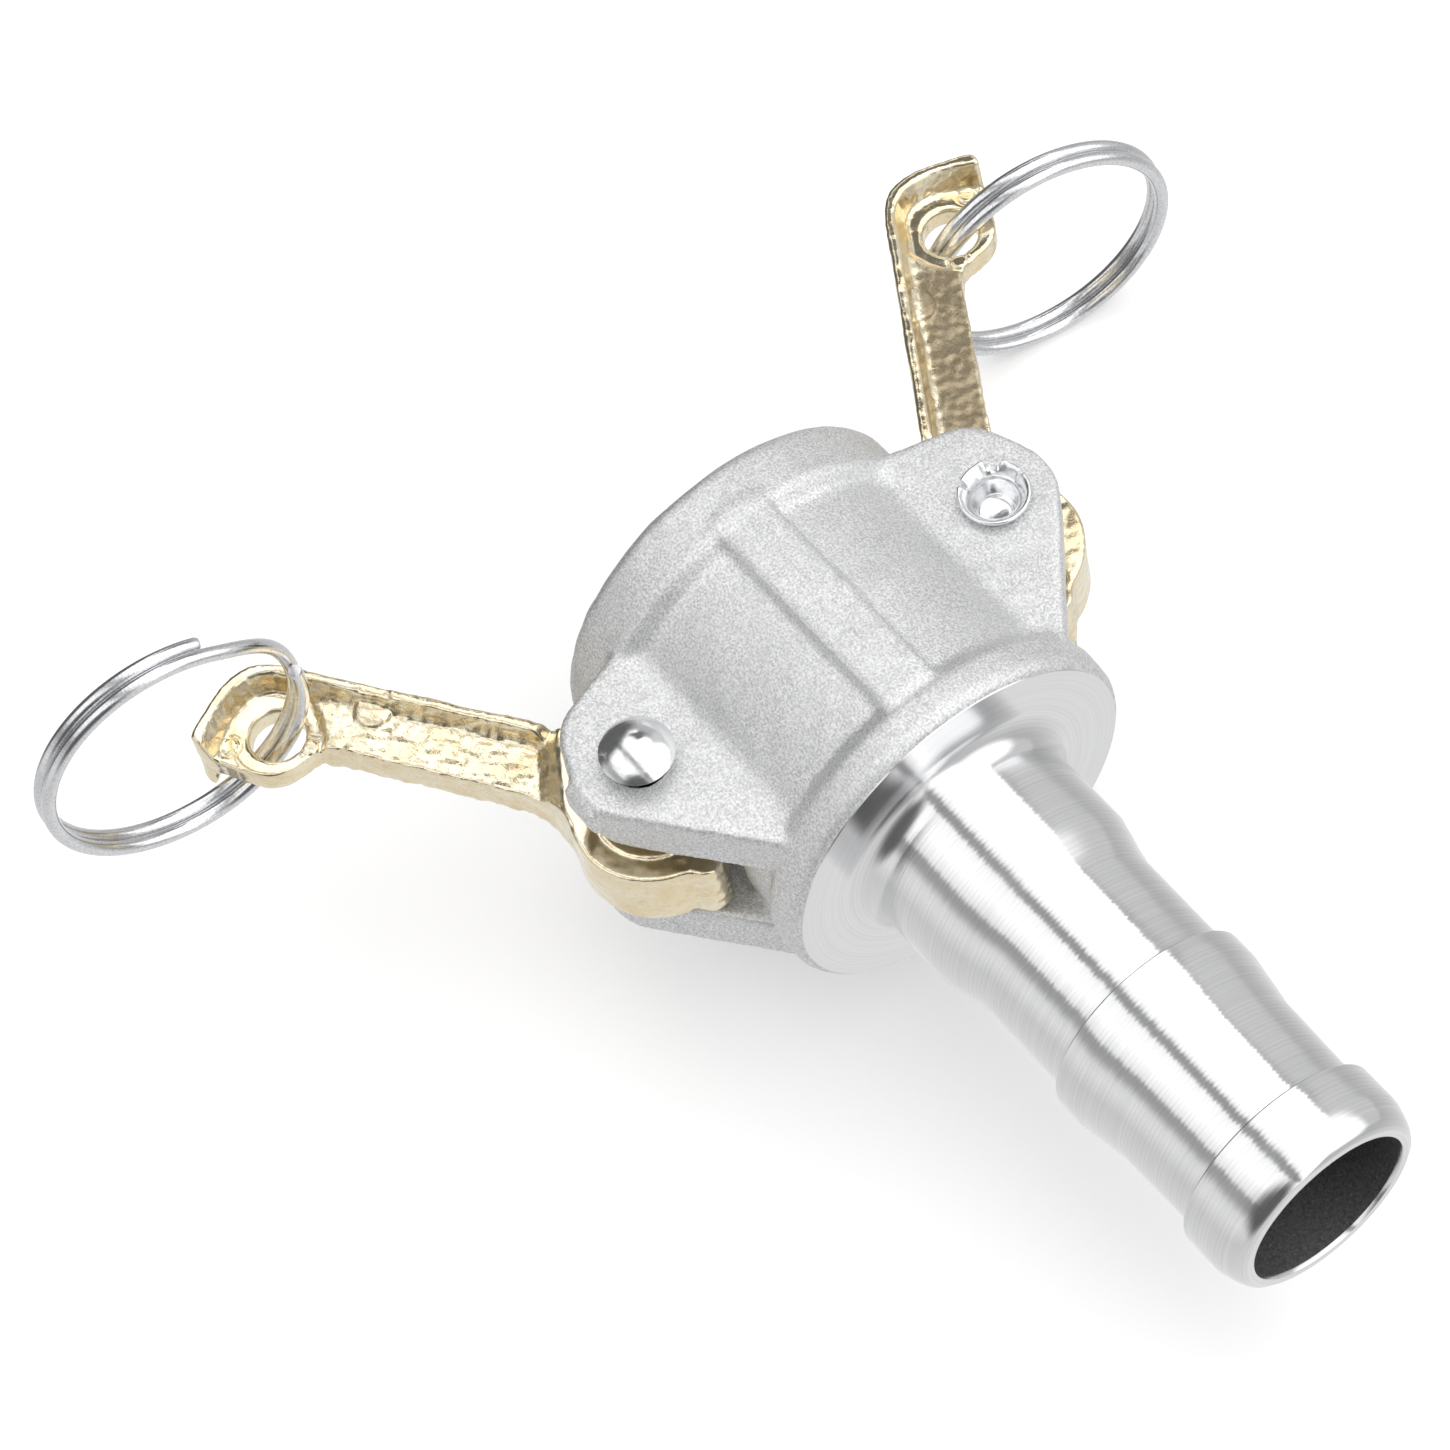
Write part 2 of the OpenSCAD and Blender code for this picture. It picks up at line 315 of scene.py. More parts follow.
# ---------------------------------------------------------------- materials
class Nodes:
    """Short ways of adding nodes to a tree."""

    def __init__(self, tree):
        self.tree = tree

    def add(self, kind, inputs=None, output=0, **settings):
        made = self.tree.nodes.new(kind)
        for key, value in settings.items():
            setattr(made, key, value)
        for key, value in (inputs or {}).items():
            if isinstance(value, bpy.types.NodeSocket):
                self.tree.links.new(value, made.inputs[key])
            else:
                made.inputs[key].default_value = value
        return made.outputs[output]

    def span(self, value, low, high, to_low, to_high, kind="LINEAR"):
        return self.add("ShaderNodeMapRange", {
            "Value": value, "From Min": low, "From Max": high, "To Min": to_low, "To Max": to_high,
        }, interpolation_type=kind)

    def math(self, operation, a, b=0.0):
        return self.add("ShaderNodeMath", {0: a, 1: b}, operation=operation)

    def vector(self, operation, a, b, output=0):
        return self.add("ShaderNodeVectorMath", {0: a, 1: b}, output=output, operation=operation)

    def scaled(self, a, share):
        return self.add("ShaderNodeVectorMath", {0: a, "Scale": share}, operation="SCALE")

    def blend(self, share, a, b):
        def filled(c):
            return c if isinstance(c, bpy.types.NodeSocket) else (*c, 1.0)
        return self.add("ShaderNodeMix", {0: share, 6: filled(a), 7: filled(b)}, output=2, data_type="RGBA")


class Look(Nodes):
    """A procedural material: one principled shader and the nodes that feed it, textured in millimetres."""

    def __init__(self, name, color, roughness, metallic):
        self.material = bpy.data.materials.new(name)
        self.material.use_nodes = True
        super().__init__(self.material.node_tree)
        self.shader = self.tree.nodes["Principled BSDF"]
        self.set("Base Color", (*color, 1.0))
        self.set("Roughness", roughness)
        self.set("Metallic", metallic)
        self.material.diffuse_color = (*color, 1.0)
        place = self.tree.nodes.new("ShaderNodeTexCoord")
        self.place = self.add("ShaderNodeMapping", {
            "Vector": place.outputs["Object"], "Scale": (1.0 / MM, 1.0 / MM, 1.0 / MM),
        })

    def set(self, key, value):
        if isinstance(value, bpy.types.NodeSocket):
            self.tree.links.new(value, self.shader.inputs[key])
        else:
            self.shader.inputs[key].default_value = value

    def noise(self, scale, detail=2.0, roughness=0.5, vector=None, distortion=0.0):
        return self.add("ShaderNodeTexNoise", {
            "Vector": vector or self.place, "Scale": scale, "Detail": detail,
            "Roughness": roughness, "Distortion": distortion,
        })

    def stretched(self, scale):
        return self.add("ShaderNodeMapping", {"Vector": self.place, "Scale": scale})

    def bump(self, height, depth_mm, strength=1.0, below=None):
        inputs = {"Height": height, "Distance": depth_mm * MM, "Strength": strength}
        if below is not None:
            inputs["Normal"] = below
        return self.add("ShaderNodeBump", inputs)

    def attribute(self, name):
        return self.add("ShaderNodeAttribute", output=2, attribute_name=name)

    def parts(self):
        """The place's own X, Y and Z."""
        return self.add("ShaderNodeSeparateXYZ", {"Vector": self.place}).node.outputs


def cast_aluminium():
    look = Look("cast_aluminium", (0.66, 0.665, 0.67), 0.5, 0.9)
    grain = look.noise(3.6, 3.0, 0.7)
    fine = look.noise(8.0, 2.0, 0.6)
    patches = look.noise(0.16, 4.0, 0.6)
    speckle = look.span(grain, 0.38, 0.62, 0.0, 1.0)
    tone = look.blend(speckle, (0.57, 0.573, 0.578), (1.0, 1.0, 1.0))
    tone = look.blend(look.span(patches, 0.35, 0.7, 0.0, 0.3), tone, (0.76, 0.765, 0.772))
    look.set("Base Color", tone)
    look.set("Roughness", look.span(fine, 0.3, 0.7, 0.44, 0.6))
    lumps = look.bump(look.noise(1.1, 2.0, 0.5), 0.06, 0.6)
    relief = look.bump(grain, 0.09, 0.85, lumps)
    # faint joint line of the mould along the middle of the top and bottom ribs
    axes = look.parts()
    wander = look.span(look.noise(0.2), 0.3, 0.7, -0.25, 0.25)
    off_middle = look.math("ABSOLUTE", look.math("ADD", axes["Y"], wander))
    line = look.span(off_middle, 0.0, 0.16, 1.0, 0.0)
    broken = look.span(look.noise(0.35, 1.0), 0.46, 0.56, 0.0, 1.0)
    seam = look.bump(look.math("MULTIPLY", line, broken), 0.07, 0.7, relief)
    look.set("Normal", seam)
    return look.material


# length of one turn of the lathe tool's path
FEED = 0.55


def turned_aluminium():
    look = Look("turned_aluminium", (0.91, 0.915, 0.92), 0.2, 1.0)
    look.set("Anisotropic", 0.85)
    look.set("Anisotropic Rotation", 0.25)
    look.set("Tangent", look.add("ShaderNodeTangent", direction_type="RADIAL", axis="X"))
    # turning lines: rings round the axis, told apart by their place along it and their distance from it
    axes = look.parts()
    squares = [look.math("POWER", axes[name], 2.0) for name in ("Y", "Z")]
    off_axis = look.math("SQRT", look.math("ADD", squares[0], squares[1]))
    track = look.add("ShaderNodeCombineXYZ", {"X": look.math("ADD", axes["X"], off_axis), "Y": off_axis})
    lines = look.noise(3.3, 3.0, 0.75, vector=track)
    bands = look.noise(0.35, 2.0, 0.5, vector=track)
    feed = look.math("SINE", look.math("MULTIPLY", axes["X"], 2.0 * math.pi / FEED))
    look.set("Roughness", look.span(bands, 0.35, 0.65, 0.13, 0.19))
    tone = look.blend(look.span(lines, 0.3, 0.7, 0.0, 1.0), (0.76, 0.764, 0.772), (0.86, 0.86, 0.865))
    tone = look.blend(look.span(feed, 0.2, 1.0, 0.0, 0.2), tone, (0.66, 0.66, 0.67))
    marks = look.noise(0.9, 5.0, 0.75)
    look.set("Base Color", look.blend(look.span(marks, 0.62, 0.8, 0.0, 0.35), tone, (0.72, 0.72, 0.73)))
    # each line leans a little round the axis, which frays the edges of the reflections
    relief = look.bump(lines, 0.010, 0.8)
    lean = look.span(look.noise(1.6, 2.0, 0.6, vector=track), 0.3, 0.7, -0.012, 0.012)
    lean = look.math("ADD", lean, look.math("MULTIPLY", feed, 0.006))
    round_axis = look.vector("CROSS_PRODUCT", (1.0, 0.0, 0.0), relief)
    leaning = look.vector("ADD", relief, look.scaled(round_axis, lean))
    look.set("Normal", look.vector("NORMALIZE", leaning, (0.0, 0.0, 0.0)))
    return look.material


def bore_painted_shade():
    look = Look("bore_painted_shade", (0.1, 0.1, 0.1), 0.7, 0.6)
    grain = look.noise(2.6, 4.0, 0.7)
    spots = look.noise(5.5, 2.0, 0.5)
    # painted shade: the near-black colour stands for the shade down inside the hose bore, with grain and pale
    # speckles in it
    tone = look.blend(look.span(grain, 0.35, 0.7, 0.0, 1.0), (0.06, 0.06, 0.062), (0.17, 0.17, 0.172))
    look.set("Base Color", look.blend(look.span(spots, 0.66, 0.74, 0.0, 0.8), tone, (0.42, 0.42, 0.42)))
    look.set("Roughness", look.span(grain, 0.3, 0.7, 0.55, 0.85))
    look.set("Normal", look.bump(grain, 0.12, 0.8))
    return look.material


def brass():
    look = Look("brass", (0.90, 0.76, 0.49), 0.16, 1.0)
    rough = look.attribute("peel")
    # share of painted dark reflection, set only on the right arm's upturned web
    painted_reflection = look.attribute("painted_reflection")
    peel = look.noise(1.35, 3.0, 0.55, distortion=0.3)
    fine = look.noise(4.5, 2.0, 0.6)
    stain = look.noise(0.22, 4.0, 0.6)
    tone = look.blend(look.span(stain, 0.42, 0.7, 0.0, 1.0), (0.93, 0.84, 0.63), (0.85, 0.70, 0.44))
    tone = look.blend(look.span(peel, 0.5, 0.75, 0.0, 0.35), tone, (0.66, 0.50, 0.30))
    # painted dark reflection: the colour turns to this dark brown where that share is set, and the roughness
    # rises there
    painted_dark = look.blend(look.span(fine, 0.35, 0.65, 0.0, 1.0), (0.30, 0.24, 0.15), (0.44, 0.36, 0.24))
    tone = look.blend(painted_reflection, tone, painted_dark)
    look.set("Base Color", tone)
    shine = look.span(fine, 0.3, 0.7, 0.08, 0.22)
    look.set("Roughness", look.math("ADD", shine, look.math("MULTIPLY", painted_reflection, 0.22)))
    deep = look.bump(peel, 0.12, look.span(rough, 0.0, 1.0, 0.15, 0.6))
    look.set("Normal", look.bump(fine, 0.04, look.span(rough, 0.0, 1.0, 0.2, 0.8), deep))
    return look.material


def plated_steel():
    look = Look("plated_steel", (0.83, 0.84, 0.85), 0.14, 1.0)
    cloud = look.noise(0.8, 4.0, 0.65)
    scratch = look.noise(2.4, 3.0, 0.6, vector=look.stretched((0.35, 1.9, 1.0)))
    look.set("Roughness", look.span(cloud, 0.3, 0.72, 0.08, 0.26))
    worn = look.span(scratch, 0.55, 0.72, 0.0, 0.5)
    look.set("Base Color", look.blend(worn, (0.87, 0.875, 0.885), (0.62, 0.62, 0.63)))
    look.set("Normal", look.bump(look.noise(1.6, 2.0), 0.03, 0.5, look.bump(scratch, 0.01, 0.5)))
    return look.material


def nickel_wire():
    look = Look("nickel_wire", (0.62, 0.625, 0.64), 0.2, 1.0)
    cloud = look.noise(0.45, 4.0, 0.6)
    drawn = look.noise(3.0, 3.0, 0.6)
    look.set("Roughness", look.span(cloud, 0.3, 0.7, 0.12, 0.26))
    dull = look.span(drawn, 0.4, 0.72, 0.0, 0.6)
    look.set("Base Color", look.blend(dull, (0.80, 0.805, 0.82), (0.56, 0.56, 0.575)))
    look.set("Normal", look.bump(drawn, 0.014, 0.8))
    return look.material


def black_rubber():
    look = Look("black_rubber", (0.025, 0.025, 0.027), 0.6, 0.0)
    grain = look.noise(4.0, 3.0, 0.6)
    bloom = look.noise(0.3, 3.0, 0.6)
    dusty = look.span(bloom, 0.4, 0.7, 0.0, 0.6)
    look.set("Base Color", look.blend(dusty, (0.022, 0.022, 0.024), (0.05, 0.05, 0.052)))
    look.set("Roughness", look.span(grain, 0.3, 0.7, 0.5, 0.72))
    look.set("Normal", look.bump(grain, 0.03, 0.5))
    return look.material


CAST = cast_aluminium()
TURNED = turned_aluminium()
BORE_SHADE = bore_painted_shade()
BRASS = brass()
STEEL = plated_steel()
WIRE = nickel_wire()
RUBBER = black_rubber()


def dress(piece, body, replaced, materials):
    """Gives a finished piece its materials and its body, and hides the node it stands for."""
    for material in materials:
        piece.data.materials.append(material)
    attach(piece, body)
    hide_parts(replaced)


# ---------------------------------------------------------------- coupler body
# radii, lengths along the axis, then the radii of rounded edges and of fillets
RIM_R = 24.1
PANEL_R = 22.4
PANEL_START = 8.6
PANEL_END = 37.6
BASE_X = 44.0
FACE_R = 23.15
FACE_RISE = 0.04
RIB_HALF = 3.65
RIB_HALF_LENGTH = 16.5
EAR_IN = 6.6
EAR_OUT = 14.0
EAR_CIRCLES = [(19.3, 25.8, 8.2), (15.3, 25.5, 7.0), (7.2, 17.0, 1.5), (40.0, 18.4, 1.5)]
# stub of the casting's gate, filed flat: middle and half size
GATE = (19.2, -34.0, 11.3)
GATE_HALF = (2.3, 0.5, 1.5)
WINDOW_R = 12.0
RIVET_R = 3.15
GROOVE_R = 19.9
GROOVE_START = 33.45
GROOVE_END = 39.9
INSERT_R = 16.5
HOSE_BORE_R = 10.55
HOSE_WALL_R = 12.95
SHANK_WIDE_R = 13.7
SHANK_FILLET = 3.4
WAIST_R = 12.3
BARBS = (77.36, 99.38)
LEAD_IN = 0.9
CUP_EDGE = 1.0
RIM_EDGE = 1.7
BAND_EDGE = 2.4
EAR_EDGE = 0.75
RIM_FILLET = 1.3
BAND_FILLET = 1.15
RIB_FILLET = 0.7
EAR_FILLET = 1.0
CAST_STEP = 0.48
CAST_LOW = (-1.5, -35.5, -25.5)
CAST_HIGH = (46.0, 35.5, 25.5)
SHANK_STEPS = 224
CREASE = 32.0
TURNED_SLOT = 1
BORE_SHADE_SLOT = 2


def casting_field(x, y, z):
    """Distance to the cast cup with its ears, without the turned shank."""
    off_axis = np.hypot(y, z) + 0.0 * x
    side = np.abs(y)
    cup = plate(off_axis - PANEL_R, x - BASE_X / 2.0, BASE_X / 2.0, CUP_EDGE)
    rim = plate(off_axis - RIM_R, x - PANEL_START / 2.0, PANEL_START / 2.0, RIM_EDGE)
    cup = smooth_min(cup, rim, RIM_FILLET)
    band_end = BASE_X + 0.49
    band_mid = (PANEL_END + band_end) / 2.0
    band = plate(off_axis - RIM_R, x - band_mid, band_end - band_mid, BAND_EDGE)
    band = smooth_max(band, PANEL_END - 0.2 - x, 1.0)
    cup = smooth_min(cup, band, BAND_FILLET)
    # ribs along the top and the bottom
    rib = smooth_max(side - RIB_HALF, off_axis - RIM_R, 0.8)
    rib = smooth_max(rib, np.abs(x - BASE_X / 2.0) - RIB_HALF_LENGTH, 0.8)
    cup = smooth_min(cup, rib, RIB_FILLET)
    # ears, and the gate's stub on one of them
    ear_plan = outline_distance(hull_of(EAR_CIRCLES), x[:, :, 0], side[:, :, 0])[:, :, None]
    ears = plate(ear_plan, np.abs(z) - (EAR_IN + EAR_OUT) / 2.0, (EAR_OUT - EAR_IN) / 2.0, EAR_EDGE)
    cup = smooth_min(cup, ears, EAR_FILLET)
    stub = [np.abs(axis - middle) - half for axis, middle, half in zip((x, y, z), GATE, GATE_HALF)]
    cup = smooth_min(cup, np.maximum(np.maximum(stub[0], stub[1]), stub[2]) - 0.3, 1.3)
    # gentle unevenness of the cast skin, none where the lathe has been
    skin = smooth_step((BASE_X - 0.6 - x) / 1.0)
    cup = cup + skin * (0.035 * ripples(x, y, z, 5.0, 11) + 0.02 * ripples(x, y, z, 1.8, 12))
    cup = smooth_max(cup, x - BASE_X, 0.35)
    # cam windows, rivet holes, adapter bore, gasket groove
    to_pin = np.hypot(x - PIN_X, side - PIN_Y)
    window = smooth_max(to_pin - WINDOW_R, np.abs(z) - EAR_IN, 0.5)
    cup = smooth_max(cup, -window, 0.7)
    cup = smooth_max(cup, RIVET_R + 0.05 - to_pin, 0.5)
    lead_in = np.clip(LEAD_IN - x, 0.0, 3.0)
    bore = np.maximum(off_axis - BORE_R - lead_in, x - GROOVE_START - 1.0)
    groove_mid = (GROOVE_START + GROOVE_END) / 2.0
    groove = np.maximum(off_axis - GROOVE_R, np.abs(x - groove_mid) - (GROOVE_END - GROOVE_START) / 2.0)
    hollow = np.minimum(np.minimum(bore, groove), off_axis - INSERT_R)
    return smooth_max(cup, -hollow, 0.45)


def barb_edge(x):
    """The step up at a barb's edge, slightly rounded."""
    return [(x, WAIST_R + 0.12), (x + 0.02, BARB_R - 0.3), (x + 0.09, BARB_R - 0.13), (x + 0.26, BARB_R)]


def shank_profile():
    """Half section (x, radius) of the turned shank and the wall it grows from, closed."""
    inner = GROOVE_END + 0.05
    wall_r = INSERT_R + 0.9
    face_x = BASE_X + FACE_RISE
    foot = [
        (inner, HOSE_WALL_R - 0.05), (inner, wall_r), (BASE_X - 0.6, wall_r), (BASE_X - 0.5, FACE_R - 0.2),
        (BASE_X - 0.1, FACE_R), (face_x, FACE_R - 0.06), (face_x, SHANK_WIDE_R + 3.3),
    ]
    fillet = arc((BASE_X + SHANK_FILLET, SHANK_WIDE_R + SHANK_FILLET), SHANK_FILLET, 188.0, 268.0, 14)
    taper = [(57.2, SHANK_WIDE_R), (59.2, 13.25), (61.4, 12.7), (63.4, WAIST_R)]
    barb1 = [(77.2, WAIST_R), *barb_edge(BARBS[0]), (80.6, BARB_R), (87.4, WAIST_R + 0.2)]
    barb2 = [(99.2, WAIST_R - 0.05), *barb_edge(BARBS[1]), (104.2, BARB_R), (104.9, 13.48)]
    nose = [(106.2, 13.12), (107.2, 12.75), (107.9, 12.3), (108.3, 11.7)]
    end = [(SHANK_END, 11.35), (SHANK_END, 11.1), (SHANK_END - 0.15, 10.75), (SHANK_END - 0.6, HOSE_BORE_R)]
    return foot + fillet + taper + barb1 + barb2 + nose + end + [(42.4, HOSE_BORE_R)]


def union(kept, added):
    """Joins a second closed mesh into the first and removes it."""
    modifier = kept.modifiers.new("join", "BOOLEAN")
    modifier.operation = "UNION"
    modifier.solver = "MANIFOLD"
    modifier.object = added
    bpy.context.view_layer.update()
    graph = bpy.context.evaluated_depsgraph_get()
    joined = bpy.data.meshes.new_from_object(kept.evaluated_get(graph))
    kept.modifiers.clear()
    kept.data = joined
    bpy.data.objects.remove(added)


def make_body():
    x, y, z = grid_axes(CAST_LOW, CAST_HIGH, CAST_STEP)
    points, faces = surface_net(casting_field(x, y + 0.0 * x, z), CAST_LOW, CAST_STEP)
    body = make_object("coupler_casting", points, faces)
    shank = make_object("shank", *lathe(shank_profile(), SHANK_STEPS))
    union(body, shank)
    mesh = body.data
    mesh.name = "coupler_casting"
    mesh.materials.clear()
    mesh.shade_smooth()
    mesh.set_sharp_from_angle(angle=math.radians(CREASE))
    # cast skin outside, turned metal on the base face, the shank and in the cup's bore, painted dark shade in
    # the hose bore
    centre = np.empty(len(mesh.polygons) * 3)
    normal = np.empty(len(mesh.polygons) * 3)
    mesh.polygons.foreach_get("center", centre)
    mesh.polygons.foreach_get("normal", normal)
    centre = centre.reshape(-1, 3) / MM
    normal = normal.reshape(-1, 3)
    off_axis = np.hypot(centre[:, 1], centre[:, 2])
    along = centre[:, 0]
    inward = (normal[:, 1] * centre[:, 1] + normal[:, 2] * centre[:, 2]) / np.maximum(off_axis, 1.0)
    kind = np.zeros(len(along), np.int32)
    past_face = along > BASE_X + FACE_RISE / 2.0
    face_corner = (along > BASE_X - 0.05) & (off_axis > FACE_R - 0.08) & (off_axis < FACE_R + 0.001)
    kind[past_face | (face_corner & (inward > 0.5))] = TURNED_SLOT
    in_cup = (off_axis < GROOVE_R + 0.2) & (along < GROOVE_END + 0.2)
    kind[in_cup & ((inward < -0.6) | (np.abs(normal[:, 0]) > 0.8))] = TURNED_SLOT
    # faces inside the hose bore take the painted shade
    in_hose_bore = (off_axis < HOSE_WALL_R) & (along > GROOVE_END - 0.1) & (along < SHANK_END - 0.7)
    kind[in_hose_bore & (inward < 0.3)] = BORE_SHADE_SLOT
    mesh.polygons.foreach_set("material_index", kind)
    dress(body, "body", "coupler_body", [CAST, TURNED, BORE_SHADE])


make_body()


# ---------------------------------------------------------------- gasket
GASKET_IN_R = 13.5
GASKET_EDGE = 0.55
GASKET_STEPS = 160


def make_gasket():
    """Flat ring with rounded edges and a shallow moulded groove on each face."""
    x0, x1 = GASKET_LOW[0], GASKET_HIGH[0]
    inner = GASKET_IN_R + GASKET_EDGE
    outer = GASKET_HIGH[1] - GASKET_EDGE
    profile = arc((x0 + GASKET_EDGE, inner), GASKET_EDGE, 270.0, 180.0, 6)
    profile += [(x0, 16.0), (x0 + 0.12, 16.3), (x0 + 0.12, 17.0), (x0, 17.3)]
    profile += arc((x0 + GASKET_EDGE, outer), GASKET_EDGE, 180.0, 90.0, 6)
    profile += arc((x1 - GASKET_EDGE, outer), GASKET_EDGE, 90.0, 0.0, 6)
    profile += [(x1, 17.3), (x1 - 0.12, 17.0), (x1 - 0.12, 16.3), (x1, 16.0)]
    profile += arc((x1 - GASKET_EDGE, inner), GASKET_EDGE, 0.0, -90.0, 6)
    points, faces = lathe(profile, GASKET_STEPS)
    gasket = make_object("seal_ring", points, faces, sharp=40.0)
    dress(gasket, "body", "gasket", [RUBBER])


make_gasket()

# ---------------------------------------------------------------- cam arms
# an arm's own axes: u from the hinge along the lever, v towards the flange, w along the hinge
ARM_HALF = 5.1
WEB_HALF = 2.4
EYE_HALF = 1.45
LAND_HALF = 1.7
HOLE_U = 47.3
HOLE_V = -0.4
HOLE_R = 3.35
LAND_R = 5.6
WALL_SLOPE = 0.36
LEVER_EDGE = 0.55
CAM_R = 9.8
CAM_EDGE = 0.6
CAM_STEP = 0.4
HUB_R = 7.25
CAM_NOSE = (-8.0, -4.9, 2.2)
ARM_STEP = 0.25
ARM_LOW = (-12.0, -12.0, -6.0)
ARM_HIGH = (57.5, 8.5, 6.0)
LEVER = [
    (-0.3, 6.9), (1.5, 7.3), (48.4, 7.2), (50.0, 7.05), (51.4, 6.75), (52.6, 6.15), (53.6, 5.25),
    (54.4, 4.05), (55.0, 2.5), (55.5, 0.4), (55.9, -1.9), (56.2, -3.9), (56.0, -4.7), (55.3, -5.2),
    (54.2, -5.4), (50.4, -5.9), (47.6, -6.05), (46.6, -5.95), (45.6, -5.6), (44.7, -5.0), (43.9, -4.2),
    (43.0, -2.9), (42.2, -1.8), (41.5, -1.2), (40.6, -0.85), (39.2, -0.75), (16.0, -1.05), (12.0, -2.05),
    (8.6, -4.2), (0.0, -4.0),
]
POCKET = [
    (8.0, 5.1), (48.0, 5.1), (49.4, 5.0), (50.6, 4.6), (51.7, 3.8), (52.5, 2.7), (53.1, 1.2),
    (53.5, -0.6), (53.7, -2.4), (53.7, -4.2), (53.7, -12.0), (8.0, -12.0),
]
EYE = [
    (45.6, 5.6), (43.0, 3.1), (41.5, 0.6), (41.0, -2.2), (41.6, -12.0), (60.0, -12.0), (60.0, 9.0),
    (45.6, 9.0),
]
BACK_WEDGE = [(2.0, 1.0), (-3.0, 1.0), (-20.0, -10.0), (-20.0, -30.0), (30.0, -30.0), (30.0, -10.5)]
# places of the mould's pin marks, the one in the flange with its radius
EJECTOR_MARKS = [(52.3, -3.2), (42.9, -0.9)]
FLANGE_MARK = (36.8, 5.0, 2.4)
FLANGE_ROUGH = 0.35
WALL_ROUGH = 0.45
# strength of the painted dark reflection on the right arm's upturned web
REFLECTION_PAINT = 0.92


def arm_field(u, v, w):
    """Distance to one arm lying flat, its hinge at the origin, and how rough its skin is."""
    flat_u = u[:, :, 0]
    flat_v = v[:, :, 0]
    deep = np.abs(w)
    lever = outline_distance(LEVER, flat_u, flat_v)[:, :, None]
    solid = plate(lever, w, ARM_HALF, LEVER_EDGE)
    # recessed web, ramp towards the hub, thinner eye, land round the ring hole
    ramp = ((flat_u - 14.1) * -7.0 + (flat_v + 0.1) * 2.9) / 7.577
    to_eye = outline_distance(EYE, flat_u, flat_v)
    to_hole = np.hypot(flat_u - HOLE_U, flat_v - HOLE_V)
    floor = WEB_HALF + 0.95 * np.maximum(ramp, 0.0)
    floor = floor + (EYE_HALF - WEB_HALF) * smooth_step(0.5 - to_eye / 0.9)
    floor = floor + (LAND_HALF - EYE_HALF) * smooth_step((LAND_R - to_hole) / 0.7 + 0.5)
    for mark_u, mark_v in EJECTOR_MARKS:
        to_mark = np.hypot(flat_u - mark_u, flat_v - mark_v)
        moat = np.exp(-(((to_mark - 1.25) / 0.2) ** 2))
        floor = floor - 0.22 * moat + 0.1 * smooth_step((1.1 - to_mark) / 0.2)
    mark_u, mark_v, mark_r = FLANGE_MARK
    to_mark = np.hypot(flat_u - mark_u, flat_v - mark_v)
    floor = floor + 0.75 * smooth_step((mark_r - to_mark) / 0.35) * smooth_step((flat_v - 1.6) / 3.0)
    floor = floor[:, :, None]
    walls = outline_distance(POCKET, flat_u, flat_v)[:, :, None] - WALL_SLOPE * (deep - WEB_HALF)
    pocket = smooth_max(walls, floor - deep, 0.8)
    solid = smooth_max(solid, -pocket, 0.4)
    # shallow flat left in the flange by the mould pin, and the notch at the flange's hub end
    sunk = ARM_HALF - 0.55 - deep + 0.25 * (flat_v - 5.5)[:, :, None]
    press = smooth_max((to_mark - mark_r)[:, :, None], sunk, 0.4)
    solid = smooth_max(solid, -press, 0.35)
    notch = np.maximum(15.0 - flat_u, (flat_u - 15.0) * 0.75)[:, :, None] - 0.75 * (deep - 3.5)
    notch = smooth_max(notch, (4.2 - flat_v)[:, :, None], 0.4)
    solid = smooth_max(solid, -notch, 0.35)
    # cam: hub, round back and nose
    to_hinge = np.hypot(flat_u, flat_v)
    nose = outline_distance(hull_of([(0.0, 0.0, 7.1), CAM_NOSE]), flat_u, flat_v)
    back = np.maximum(to_hinge - CAM_R, outline_distance(BACK_WEDGE, flat_u, flat_v))
    cam = smooth_min(np.minimum(to_hinge - HUB_R, nose), back, 1.0)[:, :, None]
    solid = smooth_min(solid, plate(cam, w, ARM_HALF, CAM_EDGE), 1.0)
    # shallow step down from the hub to the cam's back and nose
    lowered = smooth_step((to_hinge - 6.7) / 0.4) * smooth_step((-2.0 - flat_v) / 1.0)
    lowered = lowered * smooth_step((6.0 - flat_u) / 1.5)
    solid = smooth_max(solid, deep - (ARM_HALF - CAM_STEP * lowered[:, :, None]), 0.25)
    # roughness of the skin: full on the web and the cam's nose, less on the flange and its inner wall
    rough = smooth_step((deep - WEB_HALF + 1.2) / 0.4) * smooth_step((3.9 - deep) / 0.6)
    rough = rough * smooth_step((-walls + 0.5) / 0.5)
    rough = rough * smooth_step((to_eye[:, :, None] + 0.2) / 0.6) + 0.0 * u
    to_nose = np.hypot(flat_u - CAM_NOSE[0], flat_v - CAM_NOSE[1])
    rough = np.maximum(rough, smooth_step((4.0 - to_nose) / 1.2)[:, :, None])
    flange = smooth_step((flat_v - 5.2) / 0.5)[:, :, None] * smooth_step((deep - 4.2) / 0.4)
    rough = np.maximum(rough, FLANGE_ROUGH * flange)
    wall = smooth_step((flat_v - 3.8) / 0.5) * smooth_step((flat_u - 11.0) / 1.0)
    wall = wall * smooth_step((45.0 - flat_u) / 1.5)
    rough = np.maximum(rough, WALL_ROUGH * wall[:, :, None] * smooth_step((deep - 2.4) / 0.4))
    fine_skin = (0.012 + 0.035 * rough) * ripples(u, v, w, 0.75, 21, 26)
    solid = solid + fine_skin + 0.03 * ripples(u, v, w, 3.5, 22)
